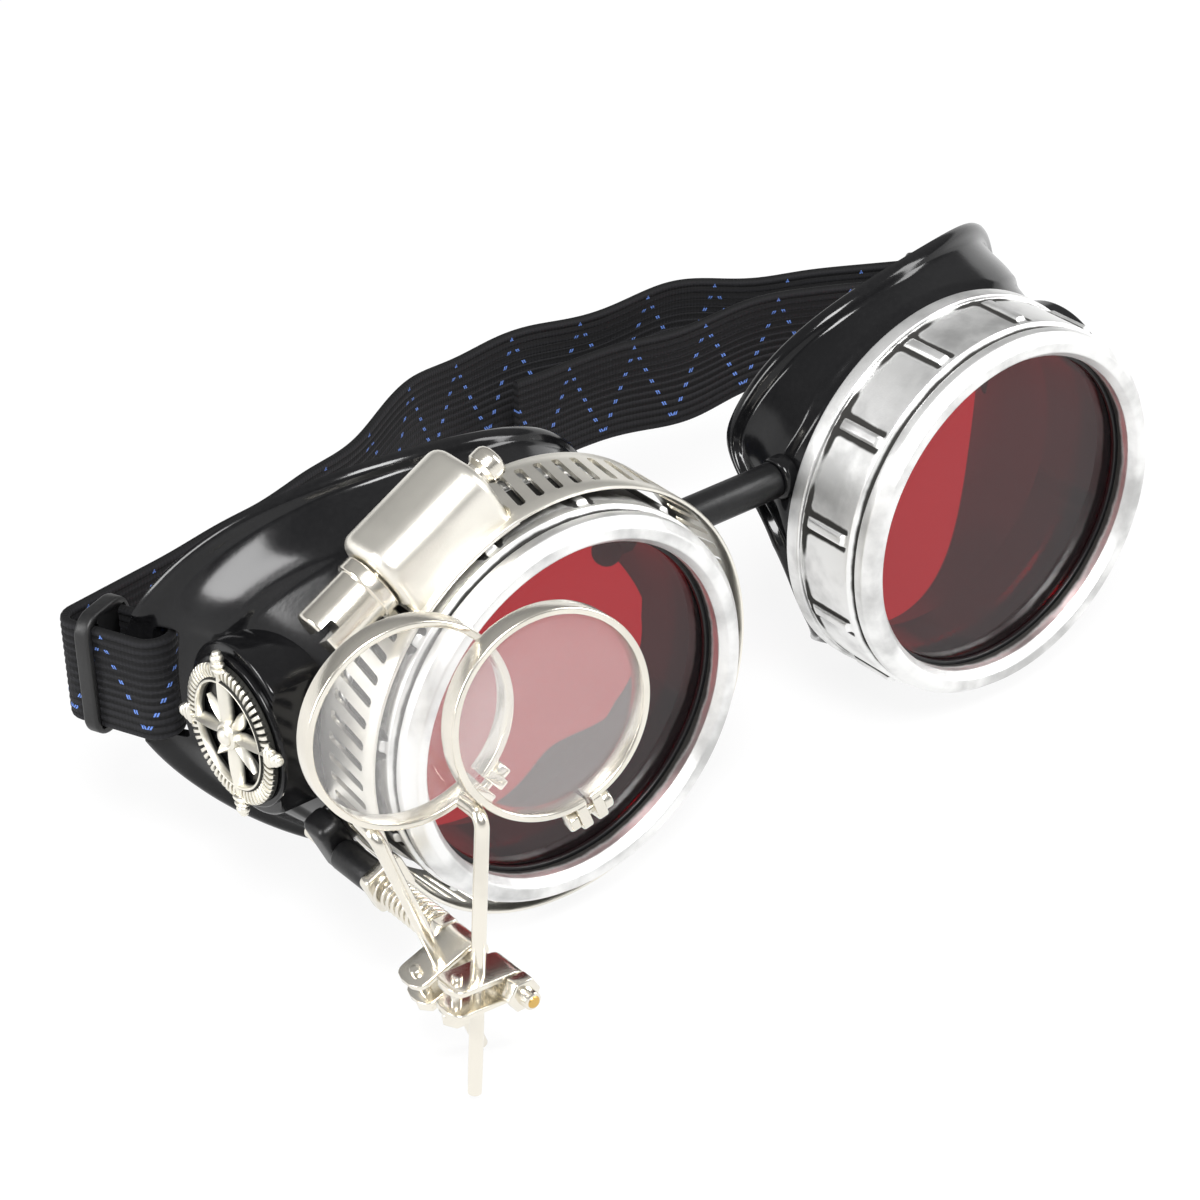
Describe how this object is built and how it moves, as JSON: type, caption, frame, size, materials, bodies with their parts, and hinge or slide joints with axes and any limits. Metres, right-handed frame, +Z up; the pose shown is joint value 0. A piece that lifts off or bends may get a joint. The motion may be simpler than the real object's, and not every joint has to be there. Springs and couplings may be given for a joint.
{
  "type": "goggles",
  "caption": "Round-lens goggles with screw-on metal lens caps, flared side cups, an elastic strap, a hose clamp and a clip-on bracket of swinging loupes.",
  "frame": {"origin": "middle of the nose bridge tube, on its axis", "axes": "+X along the bridge to the wearer's left, -Y the way the lenses look, +Z up"},
  "size_m": [0.1616, 0.1045, 0.0668],
  "materials": {
    "antique_silver": "antique silver, black patina in the recesses",
    "nickel": "bright nickel plate, warm tone",
    "cup_black": "glossy moulded black",
    "red_glass": "deep red tint, polished",
    "clear_glass": "clear, polished",
    "black_rubber": "satin black rubber",
    "cord_black": "braided black cord",
    "strap_fabric": "ribbed black elastic with a blue stitch",
    "slider_plastic": "satin black"
  },
  "bodies": {
    "frame": {"left_eyecup": "cup_black", "right_eyecup": "cup_black", "left_vent_cap": "cup_black", "right_vent_cap": "cup_black", "compass_charm": "antique_silver", "charm_pin": "antique_silver", "bridge_tube": "black_rubber", "bridge_cord": "cord_black", "strap": "strap_fabric", "right_slider": "slider_plastic"},
    "left_lens_set": {"left_lens": "red_glass", "left_gasket": "black_rubber"},
    "left_cap_ring": {"left_cap": "antique_silver"},
    "right_lens_set": {"right_lens": "red_glass", "right_gasket": "black_rubber"},
    "right_cap_ring": {"right_cap": "antique_silver", "clamp_band": "nickel", "clamp_housing": "nickel", "loupe_rod": "nickel", "clip_pad": "black_rubber", "clip_sleeve": "black_rubber", "spring_nut": "nickel", "rod_end_nut": "nickel", "clip_spring": "nickel"},
    "clamp_worm": {"clamp_screw": "nickel"},
    "front_jaw": {"clip_jaw": "nickel"},
    "inner_arm": {"inner_bracket": "nickel", "inner_bracket_bolt": "nickel"},
    "inner_loupe": {"inner_stem": "nickel", "inner_rim": "nickel", "inner_rim_screw": "nickel", "inner_magnifier": "clear_glass"},
    "outer_arm": {"outer_bracket": "nickel", "outer_bracket_bolt": "nickel"},
    "outer_loupe": {"outer_stem": "nickel", "outer_rim": "nickel", "outer_rim_screw": "nickel", "outer_magnifier": "clear_glass"},
    "strap_slider": {"left_slider": "slider_plastic"}
  },
  "joints": [
    {"name": "left_cap_lift", "type": "slide", "parent": "frame", "child": "left_lens_set", "axis": [0, -1, 0], "range_m": [0, 0.006]},
    {"name": "left_cap_turn", "type": "hinge", "parent": "left_lens_set", "child": "left_cap_ring", "pos_m": [0.037, -0.0175, -0.008], "axis": [0, -1, 0], "range_deg": [0, 720]},
    {"name": "right_cap_lift", "type": "slide", "parent": "frame", "child": "right_lens_set", "axis": [0, -1, 0], "range_m": [0, 0.0002]},
    {"name": "right_cap_turn", "type": "hinge", "parent": "right_lens_set", "child": "right_cap_ring", "pos_m": [-0.037, -0.0175, -0.008], "axis": [0, -1, 0], "range_deg": [0, 24]},
    {"name": "clamp_screw_turn", "type": "hinge", "parent": "right_cap_ring", "child": "clamp_worm", "pos_m": [-0.05188, -0.0083, 0.02005], "axis": [-0.878, 0, -0.4787], "continuous": true},
    {"name": "clip_jaw_slide", "type": "slide", "parent": "right_cap_ring", "child": "front_jaw", "axis": [0, -1, 0], "range_m": [0, 0.003], "stiffness_N_per_m": 500, "springref_m": -0.002, "deforming": ["clip_spring"]},
    {"name": "inner_swing", "type": "hinge", "parent": "right_cap_ring", "child": "inner_arm", "pos_m": [-0.0657, -0.0314, -0.02225], "axis": [0, 1, 0], "range_deg": [-15, 72]},
    {"name": "inner_slide", "type": "slide", "parent": "inner_arm", "child": "inner_loupe", "axis": [-0.3338, 0, 0.9426], "range_m": [-0.008, 0.01]},
    {"name": "outer_swing", "type": "hinge", "parent": "right_cap_ring", "child": "outer_arm", "pos_m": [-0.0657, -0.039, -0.02225], "axis": [0, 1, 0], "range_deg": [-40, 50]},
    {"name": "outer_slide", "type": "slide", "parent": "outer_arm", "child": "outer_loupe", "axis": [0.0837, 0, 0.9965], "range_m": [-0.008, 0.01]},
    {"name": "strap_slider_slide", "type": "slide", "parent": "frame", "child": "strap_slider", "axis": [-0.866, 0.5, 0], "range_m": [-0.001, 0.008]}
  ],
  "couplings": [
    {"joint": "left_cap_lift", "follows": "left_cap_turn", "m_per_rad": 0.00047746},
    {"joint": "right_cap_lift", "follows": "right_cap_turn", "m_per_rad": 0.00047746}
  ]
}
